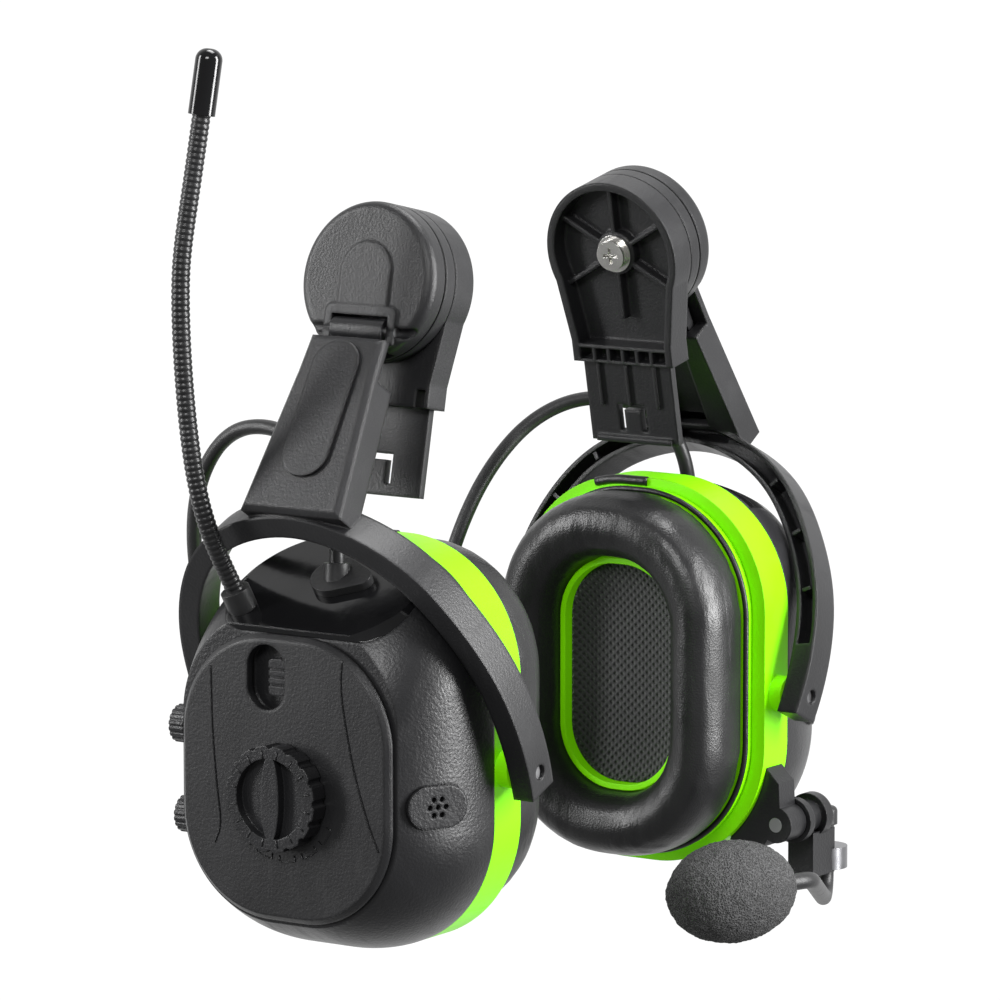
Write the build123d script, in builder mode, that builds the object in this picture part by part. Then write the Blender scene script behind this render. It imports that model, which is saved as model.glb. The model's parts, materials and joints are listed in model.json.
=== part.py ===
"""Helmet-mounted communication ear defenders, in millimetres, +Z up.

The wearer faces -Y and the wearer's right is -X. The origin is midway between the two helmet
blades, at the height of their shoulders. Every sub-part is drawn for the right side and is
mirrored in X for the left. On a right-hand side plane x is forward, y up and z outward.
"""
import os
from math import atan2, cos, degrees, pi, radians, sin, tan

from build123d import *

os.makedirs("parts", exist_ok=True)

# Driving dimensions
HALF_SPAN = 60.6          # mid-plane to the joint between cushion and ring
CUP_DROP = 82.0           # blade shoulder down to the cup centre
HUB_OUT, HUB_UP, HUB_TILT = -4.2, 116.5, 12.0      # hub centre from the cup centre, lean in degrees
HUB_BACK = 2.8            # hub and stalk behind the cup centre
ARM_TILT = 31.5           # arm's lean
PIVOT_OUT, PIVOT_UP, YOKE_TILT = 6.0, -4.0, -23.5  # yoke pivots from the cup centre, yoke's lean
CLEAR = 0.3               # gap between bodies
RUNNING = 0.06            # radial clearance of a turning shaft

HUB_R = 20.5
ADAPTER_DEPTH = 8.2
POCKET_DEPTH = 5.6
NECK_HALF, SHOULDER_DROP = 16.0, 31.0
BLADE_W, BLADE_T, BLADE_END = 28.0, 2.2, 54.0
BLADE_FACE = -6.4         # blade's inner face along the hub axis
HOUSING_TOP, CAP_TOP, PLATFORM_TOP = 5.0, 11.0, 11.8
EAR_W, SLOT_W = 22.0, 17.4
FLIP_PIN_Y, FLIP_PIN_Z, FLIP_PIN_R = -13.0, 10.1, 1.5
SLOT_FLOOR = 6.5
SCREW_R, SCREW_HEAD_R = 2.5, 4.2

TONGUE_W, TONGUE_T, TONGUE_END = 16.0, 3.0, 44.0
KNUCKLE_R = 3.2
STALK_IN, STALK_OUT = -4.5, 5.5
STALK_TOP, SHROUD_TOP, STALK_END = 15.0, 4.0, 54.0
STALK_TOP_HALF, STALK_BASE_HALF = 11.4, 15.5
YOKE_T = 10.0
YOKE_HALF, LEG_IN = 50.0, 44.0
PIVOT_R, PIVOT_PAD_R = 2.0, 6.0

RING_W, RING_H, RING_R = 80.0, 106.0, 35.0
RING_IN, RING_OUT, RING_WALL = -1.0, 11.0, 4.0
CUSHION_W, CUSHION_H, CUSHION_R, CUSHION_T = 73.0, 102.0, 34.0, 21.0
OPENING_W, OPENING_H, OPENING_R = 39.0, 65.0, 17.5
SHELL_MID, SHELL_TOP, COVER_TOP = 26.0, 40.0, 42.5
SHELL_WALL, FACE_WALL = 2.2, 3.5
FACE_W, FACE_H, FACE_R = 67.0, 80.0, 28.0
FACE_X, FACE_Y = -3.5, -4.0
TRIM_OUT, TRIM_UP, TRIM_TILT = 27.0, 41.0, 57.0    # sloping top of the cup
TRIM_W, TRIM_SPLIT, TRIM_R = 54.0, 31.0, 9.0
CABLE_R = 2.0


def side_plane(out, up, tilt, back=0.0):
    """Right-hand plane at a place measured from the cup centre; its top leans inward by tilt."""
    t = radians(tilt)
    return Plane(origin=(-HALF_SPAN - out, back, up - CUP_DROP), x_dir=(0, -1, 0),
                 z_dir=(-cos(t), 0, sin(t)))


HUB = side_plane(HUB_OUT, HUB_UP, HUB_TILT, HUB_BACK)
ARM = side_plane(0, 0, ARM_TILT)
YOKE = side_plane(PIVOT_OUT, PIVOT_UP, YOKE_TILT)
CUP = side_plane(0, 0, 0)
TRIM = side_plane(TRIM_OUT, TRIM_UP, TRIM_TILT)


def forward_plane(base, x, y=0.0, z=0.0):
    """Plane at local x, y, z of a side plane whose normal points forward."""
    return Plane(origin=base.from_local_coords((x, y, z)), x_dir=base.z_dir, z_dir=base.x_dir)


def save(piece, name, mirrored=False):
    """Write a finished sub-part, mirrored in X when it belongs to the left side."""
    solid = mirror(piece.part, about=Plane.YZ) if mirrored else piece.part
    solid.label = name
    export_step(solid, f"parts/{name}.step")


def save_pair(piece, name):
    save(piece, f"{name}_right")
    save(piece, f"{name}_left", mirrored=True)


def save_group(piece, name):
    """Write the same fastener of both sides as one node."""
    group = Compound(children=[*piece.part.solids(), *mirror(piece.part, about=Plane.YZ).solids()])
    group.label = name
    export_step(group, f"parts/{name}.step")


def keyhole(inset=0.0, drop=SHOULDER_DROP):
    """Outline of the adapter: a disc that narrows to the neck above the blade."""
    half = NECK_HALF - inset
    wide = HUB_R - inset - 1.2
    with BuildSketch() as outline:
        Circle(HUB_R - inset)
        Polygon((-wide, -5), (-half, -25), (-half, -drop), (half, -drop), (half, -25), (wide, -5),
                align=None)
    return outline.sketch


# Helmet adapter: shallow ribbed pan with the slot blade below it
NECK_WEB_DROP = 26.0
with BuildPart() as adapter:
    with BuildSketch(HUB.offset(-ADAPTER_DEPTH)):
        add(keyhole())
    extrude(amount=ADAPTER_DEPTH)
    with BuildSketch(HUB.offset(-ADAPTER_DEPTH)):
        add(keyhole(inset=2.2, drop=NECK_WEB_DROP))
    extrude(amount=POCKET_DEPTH, mode=Mode.SUBTRACT)
    with BuildSketch(HUB.offset(-ADAPTER_DEPTH + 2.4)):
        with PolarLocations(11.5, 6, start_angle=30):
            Rectangle(14.5, 1.2)
        Circle(6)
    extrude(amount=POCKET_DEPTH - 2.4)
    with BuildSketch(HUB.offset(-ADAPTER_DEPTH)):
        with Locations((0, -28.6)):
            Rectangle(2 * NECK_HALF - 4.4, 3.4)
    extrude(amount=3.4, mode=Mode.SUBTRACT)
    with BuildSketch(HUB.offset(-ADAPTER_DEPTH)):
        with GridLocations(4.6, 1, 5, 1):
            with Locations((0, -28.6)):
                Rectangle(1.0, 3.4)
    extrude(amount=3.4)
    with BuildSketch(HUB.offset(BLADE_FACE)):
        with Locations((0, -(SHOULDER_DROP + BLADE_END) / 2)):
            Rectangle(BLADE_W, BLADE_END - SHOULDER_DROP)
    extrude(amount=BLADE_T)
    with BuildSketch(HUB.offset(BLADE_FACE - 1.0)):
        with GridLocations(9.0, 1, 3, 1):
            with Locations((0, -37.5)):
                Rectangle(1.0, 12.0)
        with Locations((0, -BLADE_END + 0.8)):
            Rectangle(BLADE_W - 4, 1.6)
    extrude(amount=1.0)
    with BuildSketch(HUB.offset(BLADE_FACE - 1.0)):
        with Locations((0, -47.0)):
            Rectangle(9.0, 7.6)
        with Locations((0, -48.6)):
            Rectangle(5.2, 7.6, mode=Mode.SUBTRACT)
        with Locations((-NECK_HALF + 2.4, -28.6), (NECK_HALF - 2.4, -28.6)):
            Rectangle(2.8, 4.6)
    extrude(amount=ADAPTER_DEPTH, mode=Mode.SUBTRACT)
    with BuildSketch(HUB):
        Circle(SCREW_R)
    extrude(amount=-ADAPTER_DEPTH, mode=Mode.SUBTRACT)
save_pair(adapter, "helmet_adapter")

POCKET_FLOOR = -ADAPTER_DEPTH + 2.4
WASHER_T = 0.8
with BuildPart() as washer:
    with BuildSketch(HUB.offset(POCKET_FLOOR - WASHER_T)):
        Circle(5.2)
        Circle(SCREW_R, mode=Mode.SUBTRACT)
    extrude(amount=WASHER_T)
save_group(washer, "pivot_washers")

HEAD_T = 2.0
with BuildPart() as screw:
    with BuildSketch(HUB.offset(POCKET_FLOOR - WASHER_T - HEAD_T)):
        Circle(SCREW_HEAD_R)
    extrude(amount=HEAD_T)
    with BuildSketch(HUB.offset(POCKET_FLOOR - WASHER_T)):
        Circle(SCREW_R)
    extrude(amount=WASHER_T - POCKET_FLOOR + HOUSING_TOP - 1.0)
    with BuildSketch(HUB.offset(POCKET_FLOOR - WASHER_T - HEAD_T)):
        Rectangle(4.4, 0.9)
        Rectangle(0.9, 4.4)
    extrude(amount=1.2, mode=Mode.SUBTRACT)
save_group(screw, "pivot_screws")

# Hub: housing that turns on the screw, and the cap with the flip hinge
with BuildPart() as housing:
    with BuildSketch(HUB.offset(CLEAR)):
        Circle(HUB_R)
    extrude(amount=HOUSING_TOP - CLEAR)
    with BuildSketch(HUB.offset(4.4)):
        Circle(HUB_R)
        Circle(HUB_R - 0.7, mode=Mode.SUBTRACT)
    extrude(amount=0.8, mode=Mode.SUBTRACT)
    with BuildSketch(HUB.offset(CLEAR)):
        Circle(SCREW_R + RUNNING)
    extrude(amount=HOUSING_TOP - CLEAR, mode=Mode.SUBTRACT)
save_pair(housing, "hub_housing")

with BuildPart() as cap:
    with BuildSketch(HUB.offset(HOUSING_TOP)):
        Circle(HUB_R)
    extrude(amount=CAP_TOP - HOUSING_TOP)
    fillet(cap.faces().sort_by(Axis(HUB.origin, HUB.z_dir))[-1].edges(), 2.4)
    with BuildSketch(HUB.offset(CAP_TOP - 2.0)):
        with Locations((0, FLIP_PIN_Y + 1.0)):
            RectangleRounded(EAR_W, 11.0, 2.0)
        Circle(HUB_R - 1.0, mode=Mode.INTERSECT)
    extrude(amount=PLATFORM_TOP - CAP_TOP + 2.0)
    with BuildSketch(HUB.offset(CAP_TOP - 2.0)):
        with Locations((0, -3.0)):
            SlotOverall(26.0, 15.5, rotation=90)
    extrude(amount=2.6)
    with BuildSketch(HUB.offset(SLOT_FLOOR)):
        with Locations((0, -17.2)):
            Rectangle(SLOT_W, 16.0)
    extrude(amount=12.0, mode=Mode.SUBTRACT)
    with BuildSketch(forward_plane(HUB, -EAR_W, FLIP_PIN_Y, FLIP_PIN_Z)):
        Circle(FLIP_PIN_R)
    extrude(amount=2 * EAR_W, mode=Mode.SUBTRACT)
save_pair(cap, "hub_cap")

with BuildPart() as flip_pin:
    with BuildSketch(forward_plane(HUB, -EAR_W / 2 + 0.2, FLIP_PIN_Y, FLIP_PIN_Z)):
        Circle(FLIP_PIN_R)
    extrude(amount=EAR_W - 0.4)
save_pair(flip_pin, "hinge_pin")

# Tongue: knuckle on the hinge pin and the strip that the stalk slides on
FLIP = Plane(origin=HUB.from_local_coords((0, FLIP_PIN_Y, FLIP_PIN_Z)), x_dir=ARM.x_dir, z_dir=ARM.z_dir)
with BuildPart() as tongue:
    with BuildSketch(forward_plane(FLIP, -TONGUE_W / 2)):
        Circle(KNUCKLE_R)
    extrude(amount=TONGUE_W)
    with BuildSketch(FLIP.offset(-TONGUE_T / 2)):
        with Locations((0, -TONGUE_END / 2)):
            Rectangle(TONGUE_W, TONGUE_END)
    extrude(amount=TONGUE_T)
    with BuildSketch(forward_plane(FLIP, -TONGUE_W)):
        Circle(FLIP_PIN_R + RUNNING)
    extrude(amount=2 * TONGUE_W, mode=Mode.SUBTRACT)
save_pair(tongue, "slide_tongue")

# Stalk and yoke: one moulding
BOW_OUTER = ((50, -6), (50.6, 14), (47.5, 30), (40, 46), (29, 60), (13, 69.5), (-4, 73), (-20, 70.5),
             (-34, 63), (-44.5, 49.5), (-50, 33), (-51, 14), (-50, -6))
BOW_INNER = ((44, -6), (44.4, 13), (41.8, 27.5), (34.8, 42.6), (24.8, 55.2), (11, 63.8), (-4, 67),
             (-18, 64.8), (-30.2, 58.2), (-39.2, 46.2), (-44, 31.5), (-44.8, 13), (-44, -6))
GROOVE_OUT, GROOVE_IN, GROOVE_DEPTH, RIB_T = 0.2, 0.8, 6.5, 1.0
GROOVE_RIBS = (2, 3, 4, 8, 9, 10)


def between(station, share):
    """Point of the bow at a station, a share of the way from its outer to its inner edge."""
    return Vector(BOW_OUTER[station]) * (1 - share) + Vector(BOW_INNER[station]) * share


def bow_face(share, drop=0.0):
    """Face under one edge line of the bow, closed straight across its feet."""
    line = [between(station, share) for station in range(len(BOW_OUTER))]
    fore, rear = line[0] - Vector(0, drop), line[-1] - Vector(0, drop)
    with BuildSketch() as face:
        with BuildLine():
            Spline(*line)
            Polyline(line[-1], rear, fore, line[0]) if drop else Line(line[-1], line[0])
        make_face()
    return face.sketch


def bow_groove():
    """Groove along the bow's inner face, from one leg to the other."""
    stations = range(1, len(BOW_OUTER) - 1)
    outer = [between(station, GROOVE_OUT) for station in stations]
    inner = [between(station, GROOVE_IN) for station in stations]
    with BuildSketch() as groove:
        with BuildLine():
            Spline(*outer)
            Line(outer[-1], inner[-1])
            Spline(*inner)
            Line(inner[0], outer[0])
        make_face()
    return groove.sketch


CHANNEL_W, CHANNEL_T = TONGUE_W + 2 * CLEAR, TONGUE_T + 2 * CLEAR
with BuildPart() as yoke_arm:
    with BuildSketch(FLIP.offset(STALK_IN)):
        with BuildLine():
            Polyline((-STALK_TOP_HALF - 0.6, -STALK_TOP), (-STALK_BASE_HALF, -STALK_END),
                     (STALK_BASE_HALF, -STALK_END), (STALK_TOP_HALF + 0.6, -STALK_TOP),
                     (-STALK_TOP_HALF - 0.6, -STALK_TOP))
        make_face()
    extrude(amount=STALK_OUT - STALK_IN)
    with BuildSketch(FLIP.offset(2.2)):
        with BuildLine():
            Polyline((-STALK_TOP_HALF, -SHROUD_TOP), (-STALK_TOP_HALF - 0.6, -STALK_TOP - 1),
                     (STALK_TOP_HALF + 0.6, -STALK_TOP - 1), (STALK_TOP_HALF, -SHROUD_TOP),
                     (-STALK_TOP_HALF, -SHROUD_TOP))
        make_face()
    extrude(amount=STALK_OUT - 2.2)
    chamfer(yoke_arm.faces().sort_by(Axis(FLIP.origin, FLIP.z_dir))[-1].edges(), 1.4)
    with BuildSketch(YOKE.offset(-YOKE_T / 2)):
        add(bow_face(0.0))
        add(bow_face(1.0, PIVOT_PAD_R), mode=Mode.SUBTRACT)
    extrude(amount=YOKE_T)
    with BuildSketch(YOKE.offset(-YOKE_T / 2)):
        add(bow_groove())
    extrude(amount=GROOVE_DEPTH, mode=Mode.SUBTRACT)
    with BuildSketch(YOKE.offset(-YOKE_T / 2)):
        for station in GROOVE_RIBS:
            foot, head = between(station, GROOVE_IN - 0.1), between(station, GROOVE_OUT + 0.1)
            with Locations((foot + head) * 0.5):
                Rectangle((head - foot).length, RIB_T,
                          rotation=degrees(atan2(head.Y - foot.Y, head.X - foot.X)))
    extrude(amount=GROOVE_DEPTH)
    with BuildSketch(FLIP.offset(-CHANNEL_T / 2)):
        with Locations((0, -SHROUD_TOP - 24.0)):
            Rectangle(CHANNEL_W, 52.0)
    extrude(amount=CHANNEL_T, mode=Mode.SUBTRACT)
    with BuildSketch(FLIP.offset(STALK_IN - 1.0)):
        with Locations((0, -31.0)):
            Rectangle(12.0, 30.0)
    extrude(amount=4.0, mode=Mode.SUBTRACT)
    with BuildSketch(forward_plane(YOKE, -YOKE_HALF - 1)):
        Circle(PIVOT_R)
    extrude(amount=2 * YOKE_HALF + 2, mode=Mode.SUBTRACT)
save_pair(yoke_arm, "yoke_arm")

PANEL_T = 0.9
with BuildPart() as arm_panel:
    with BuildSketch(FLIP.offset(STALK_OUT)):
        with Locations((0, -25.0)):
            RectangleRounded(14.0, 38.0, 6.5)
    extrude(amount=PANEL_T)
save_pair(arm_panel, "arm_panel")

PIVOT_IN = 37.0
with BuildPart() as yoke_pivots:
    for x in (-YOKE_HALF + 0.5, PIVOT_IN):
        with BuildSketch(forward_plane(YOKE, x)):
            Circle(PIVOT_R)
        extrude(amount=YOKE_HALF - 0.5 - PIVOT_IN)
save_pair(yoke_pivots, "yoke_pivots")

# Cup: ring, cushion and the parts in its opening
BOSS_END = LEG_IN - CLEAR
with BuildPart() as ring:
    with BuildSketch(CUP.offset(RING_IN)):
        RectangleRounded(RING_W, RING_H, RING_R)
    extrude(amount=RING_OUT - RING_IN)
    for x in (-BOSS_END, RING_W / 2 - 3):
        with BuildSketch(forward_plane(CUP, x, PIVOT_UP, PIVOT_OUT)):
            Circle(5.0)
        extrude(amount=BOSS_END - RING_W / 2 + 3)
    with BuildSketch(CUP.offset(RING_IN)):
        RectangleRounded(RING_W - 2 * RING_WALL, RING_H - 2 * RING_WALL, RING_R - RING_WALL)
    extrude(amount=RING_OUT - RING_IN, mode=Mode.SUBTRACT)
    with BuildSketch(forward_plane(CUP, -YOKE_HALF, PIVOT_UP, PIVOT_OUT)):
        Circle(PIVOT_R + RUNNING)
    extrude(amount=2 * YOKE_HALF, mode=Mode.SUBTRACT)
save_pair(ring, "cup_ring")

COLLAR_END = -12.0
PLATE_IN = RING_IN - 2.0
with BuildPart() as inner_ring:
    with BuildSketch(CUP.offset(PLATE_IN)):
        RectangleRounded(CUSHION_W - 1, CUSHION_H - 1, CUSHION_R - 1)
    extrude(amount=RING_IN - PLATE_IN)
    with BuildSketch(CUP.offset(COLLAR_END)):
        RectangleRounded(OPENING_W - 0.8, OPENING_H - 0.8, OPENING_R)
    extrude(amount=PLATE_IN - COLLAR_END)
    with BuildSketch(CUP.offset(COLLAR_END)):
        RectangleRounded(OPENING_W - 4, OPENING_H - 4, OPENING_R - 1.6)
    extrude(amount=RING_IN - COLLAR_END, mode=Mode.SUBTRACT)
save_pair(inner_ring, "inner_ring")

CUSHION_ROUND = 8.0
with BuildPart() as cushion:
    with BuildSketch(CUP.offset(PLATE_IN - CUSHION_T)):
        RectangleRounded(CUSHION_W, CUSHION_H, CUSHION_R)
        RectangleRounded(OPENING_W, OPENING_H, OPENING_R, mode=Mode.SUBTRACT)
    extrude(amount=CUSHION_T)
    fillet(cushion.faces().sort_by(Axis(CUP.origin, CUP.z_dir))[0].edges(), CUSHION_ROUND)
save_pair(cushion, "cushion")

with BuildPart() as liner:
    with BuildSketch(CUP.offset(-8.0)):
        RectangleRounded(OPENING_W - 4.2, OPENING_H - 4.2, OPENING_R - 1.8)
    extrude(amount=4.0)
save_pair(liner, "foam_liner")

with BuildPart() as speaker:
    with BuildSketch(CUP.offset(-3.0)):
        Circle(14.0)
    extrude(amount=10.0)
    with BuildSketch(CUP.offset(7.0)):
        Circle(8.0)
    extrude(amount=2.0)
save_pair(speaker, "speaker")


def cup_volume(inset, base, top, trim_inset):
    """Closed outer form of the cup, shrunk by inset, with its sloping top."""
    with BuildPart() as volume:
        for height, width, length, corner, x, y in (
                (base, RING_W, RING_H, RING_R, 0, 0),
                (SHELL_MID, 77.0, 100.0, 32.0, -1.0, -1.0),
                (top, FACE_W, FACE_H, FACE_R, FACE_X, FACE_Y)):
            with BuildSketch(CUP.offset(height)):
                with Locations((x, y)):
                    RectangleRounded(width - 2 * inset, length - 2 * inset, corner - inset)
        loft()
        with BuildSketch(TRIM.offset(-trim_inset)):
            Rectangle(140, 140)
        extrude(amount=60, mode=Mode.SUBTRACT)
    return volume.part


PORT_X, PORT_Y, PORT_Z = 34.2, -10.6, 30.0
PORT_LEAN = 27.0
PORT_LENGTH, PORT_WIDTH, PORT_FOOT, PORT_HEIGHT = 17.0, 11.0, -1.5, 4.0
PORT = Plane(origin=CUP.from_local_coords((PORT_X, PORT_Y, PORT_Z)),
             x_dir=(-cos(radians(PORT_LEAN)), sin(radians(PORT_LEAN)), 0),
             z_dir=(-sin(radians(PORT_LEAN)), -cos(radians(PORT_LEAN)), 0))
with BuildPart() as port:
    with BuildSketch(PORT.offset(PORT_FOOT)):
        SlotOverall(PORT_LENGTH, PORT_WIDTH)
    extrude(amount=PORT_HEIGHT)
    with BuildSketch(PORT.offset(1.0)):
        Circle(0.7)
        with PolarLocations(2.3, 6):
            Circle(0.7)
    extrude(amount=3.0, mode=Mode.SUBTRACT)
save_pair(port, "ambient_mic_port")

DIAL_X, DIAL_Y, DIAL_R = -4.0, -10.2, 13.8
BAND_X, BAND_Y = -8.9, 20.0
KNOB_R, KNOB_SHAFT_R, KNOB_FACE = 5.0, 1.5, -40.0
KNOBS = (("volume_knob", 3.0, 31.0), ("talk_volume_knob", -21.0, 29.0))
SHAFT_R = 2.5


def cup_shell(with_controls):
    """Hollow cup without its trim; the right one has the bores of its controls."""
    with BuildPart() as shell:
        add(cup_volume(0, RING_OUT, SHELL_TOP, 0))
        add(cup_volume(SHELL_WALL, RING_OUT, SHELL_TOP - FACE_WALL, SHELL_WALL), mode=Mode.SUBTRACT)
        with BuildSketch(CUP):
            with Locations((0, TRIM_SPLIT + TRIM_W / 2)):
                RectangleRounded(TRIM_W, TRIM_W, TRIM_R)
        extrude(amount=60, mode=Mode.SUBTRACT)
        with BuildSketch(PORT.offset(PORT_FOOT)):
            SlotOverall(PORT_LENGTH, PORT_WIDTH)
        extrude(amount=PORT_HEIGHT, mode=Mode.SUBTRACT)
        if with_controls:
            with BuildSketch(CUP.offset(SHELL_TOP - FACE_WALL - 1)):
                with Locations((DIAL_X, DIAL_Y)):
                    Circle(SHAFT_R + RUNNING)
            extrude(amount=FACE_WALL + 2, mode=Mode.SUBTRACT)
            with BuildSketch(CUP.offset(SHELL_TOP - 2.0)):
                with Locations((BAND_X, BAND_Y)):
                    SlotOverall(19.0, 13.4, rotation=90)
            extrude(amount=3.0, mode=Mode.SUBTRACT)
            for _, up, out in KNOBS:
                with BuildSketch(forward_plane(CUP, KNOB_FACE, up, out)):
                    Circle(KNOB_R + CLEAR)
                extrude(amount=-10, mode=Mode.SUBTRACT)
                with BuildSketch(forward_plane(CUP, KNOB_FACE + 6, up, out)):
                    Circle(KNOB_SHAFT_R + RUNNING)
                extrude(amount=-10, mode=Mode.SUBTRACT)
    return shell


save(cup_shell(with_controls=True), "cup_shell_right")
save(cup_shell(with_controls=False), "cup_shell_left", mirrored=True)

with BuildPart() as top_trim:
    add(cup_volume(0, RING_OUT, SHELL_TOP, 0))
    add(cup_volume(SHELL_WALL, RING_OUT, SHELL_TOP - FACE_WALL, SHELL_WALL), mode=Mode.SUBTRACT)
    with BuildSketch(CUP):
        with Locations((0, TRIM_SPLIT + TRIM_W / 2)):
            RectangleRounded(TRIM_W, TRIM_W, TRIM_R)
    extrude(amount=60, mode=Mode.INTERSECT)
save_pair(top_trim, "top_trim")


def face_cover(with_controls):
    """Raised outer cover with bevelled rim."""
    with BuildPart() as cover:
        with BuildSketch(CUP.offset(SHELL_TOP)):
            with Locations((FACE_X, FACE_Y - 2)):
                RectangleRounded(FACE_W - 2, FACE_H - 6, FACE_R - 1)
        extrude(amount=COVER_TOP - SHELL_TOP)
        chamfer(cover.faces().sort_by(Axis(CUP.origin, CUP.z_dir))[-1].edges(), 1.4)
        if with_controls:
            with BuildSketch(CUP.offset(SHELL_TOP)):
                with Locations((DIAL_X, DIAL_Y)):
                    Circle(SHAFT_R + RUNNING)
                with Locations((BAND_X, BAND_Y)):
                    SlotOverall(17.0, 11.8, rotation=90)
            extrude(amount=COVER_TOP, mode=Mode.SUBTRACT)
    return cover


save(face_cover(with_controls=True), "face_cover_right")
save(face_cover(with_controls=False), "face_cover_left", mirrored=True)

# Inside the cups
with BuildPart() as board:
    with BuildSketch(CUP.offset(28.0)):
        with Locations((-2, -6)):
            RectangleRounded(46.0, 58.0, 4.0)
    extrude(amount=1.6)
save_pair(board, "circuit_board")

with BuildPart() as batteries:
    for x in (-8.0, 8.0):
        with BuildSketch(Plane(origin=CUP.from_local_coords((x, -27.0, 19.0)))):
            Circle(7.0)
        extrude(amount=50.0)
save(batteries, "batteries")

# Controls of the right cup
DIAL_BASE, DIAL_TOP = COVER_TOP + CLEAR, COVER_TOP + 5.5
with BuildPart() as dial:
    with BuildSketch(CUP.offset(DIAL_BASE)):
        with Locations((DIAL_X, DIAL_Y)):
            Circle(DIAL_R)
            with PolarLocations(DIAL_R + 0.5, 16):
                Circle(1.2, mode=Mode.SUBTRACT)
    extrude(amount=DIAL_TOP - DIAL_BASE)
    with BuildSketch(CUP.offset(DIAL_BASE + 2.6)):
        with Locations((DIAL_X, DIAL_Y)):
            Circle(DIAL_R - 3.4)
            Ellipse(2.8, DIAL_R - 2.5, mode=Mode.SUBTRACT)
    extrude(amount=4.0, mode=Mode.SUBTRACT)
    with BuildSketch(CUP.offset(SHELL_TOP - 6.5)):
        with Locations((DIAL_X, DIAL_Y)):
            Circle(SHAFT_R)
    extrude(amount=DIAL_BASE - SHELL_TOP + 6.5)
save(dial, "tuning_dial")

with BuildPart() as band_switch:
    with BuildSketch(CUP.offset(SHELL_TOP - 1.7)):
        with Locations((BAND_X + 2.6, BAND_Y)):
            RectangleRounded(5.2, 9.4, 1.2)
    extrude(amount=3.0)
    with BuildSketch(CUP.offset(SHELL_TOP + 0.6)):
        with Locations((BAND_X + 2.6, BAND_Y)):
            with GridLocations(1, 2.0, 1, 3):
                Rectangle(6, 0.6)
    extrude(amount=1.0, mode=Mode.SUBTRACT)
save(band_switch, "band_switch")


def volume_knob(up, out):
    """Knurled knob on the rear wall, with its shaft through the wall."""
    with BuildPart() as knob:
        with BuildSketch(forward_plane(CUP, KNOB_FACE - CLEAR, up, out)):
            Circle(KNOB_R)
            with PolarLocations(KNOB_R + 0.2, 18):
                Circle(0.5, mode=Mode.SUBTRACT)
        extrude(amount=-4.5)
        with BuildSketch(forward_plane(CUP, KNOB_FACE - CLEAR, up, out)):
            Circle(KNOB_SHAFT_R)
        extrude(amount=5.5)
    return knob


for knob_name, knob_up, knob_out in KNOBS:
    save(volume_knob(knob_up, knob_out), knob_name)

# Cable between the cups: up from each gland, over behind the stalk and down behind the cup
CABLE_ROUTE = [(-84.2, 0, -34.2), (-83.2, 0.5, -23), (-76.5, 9, -10), (-75, 25, -1.5), (-74, 42, -4),
               (-72, 54, -20), (-69, 57, -42), (-63, 54, -66), (-50, 51, -86), (-26, 50, -96),
               (0, 51, -96), (22, 52, -85), (36, 51, -65), (44, 50, -46), (55, 47, -29),
               (66, 40, -16), (73, 27, -9.5), (76.5, 9.5, -11), (83.2, 0.5, -23), (84.2, 0, -34.2)]
RIGHT_JOIN, LEFT_JOIN = 7, 12       # route points after which the cable leaves one cup's share


def arc_radii(points):
    """Largest arcs that two neighbouring runs have room for, one for each corner."""
    radii = []
    for before, corner, after in zip(points, points[1:], points[2:]):
        run_in, run_out = Vector(corner) - Vector(before), Vector(after) - Vector(corner)
        half_turn = radians(run_in.get_angle(run_out)) / 2
        radii.append(0.45 * min(run_in.length, run_out.length) / tan(half_turn))
    return radii


def halfway(index):
    """Middle of the run that starts at a route point."""
    return (Vector(CABLE_ROUTE[index]) + Vector(CABLE_ROUTE[index + 1])) * 0.5


RADII = arc_radii(CABLE_ROUTE)
LAST = len(CABLE_ROUTE) - 1
RIGHT_END, LEFT_END = CABLE_ROUTE[0], CABLE_ROUTE[LAST]
for cable_name, start, first, last, end in (
        ("cable_right", RIGHT_END, 1, RIGHT_JOIN, halfway(RIGHT_JOIN)),
        ("cable_middle", halfway(RIGHT_JOIN), RIGHT_JOIN + 1, LEFT_JOIN, halfway(LEFT_JOIN)),
        ("cable_left", halfway(LEFT_JOIN), LEFT_JOIN + 1, LAST - 1, LEFT_END)):
    with BuildPart() as cable:
        with BuildLine() as cable_line:
            FilletPolyline(start, *CABLE_ROUTE[first:last + 1], end, radius=RADII[first - 1:last])
        with BuildSketch(Plane(origin=start, z_dir=cable_line.wire() % 0)):
            Circle(CABLE_R)
        sweep(path=cable_line.wire())
    save(cable, cable_name)
    run_length = cable_line.wire().length
    print(cable_name, "length", round(run_length, 1),
          "volume ratio", round(cable.part.volume / (pi * CABLE_R ** 2 * run_length), 4))
print("cable radii", [round(radius, 1) for radius in RADII])

# Cable gland on the sloping top: flat teardrop foot and a sleeve that ends at the cable
GLAND = TRIM.from_local_coords((0, 4.0, 0))
with BuildPart() as gland:
    with BuildSketch(Plane(origin=GLAND, x_dir=TRIM.x_dir, z_dir=TRIM.z_dir)):
        Circle(6.5)
        with Locations((8.0, 0)):
            Circle(3.0)
        make_hull()
    extrude(amount=2.2)
    with BuildSketch(Plane(origin=RIGHT_END, z_dir=Vector(CABLE_ROUTE[1]) - Vector(RIGHT_END))):
        Circle(3.4)
    extrude(amount=-8.0)
    with BuildSketch(TRIM):
        Rectangle(40, 40)
    extrude(amount=-20, mode=Mode.SUBTRACT)
save_pair(gland, "cable_gland")

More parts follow.
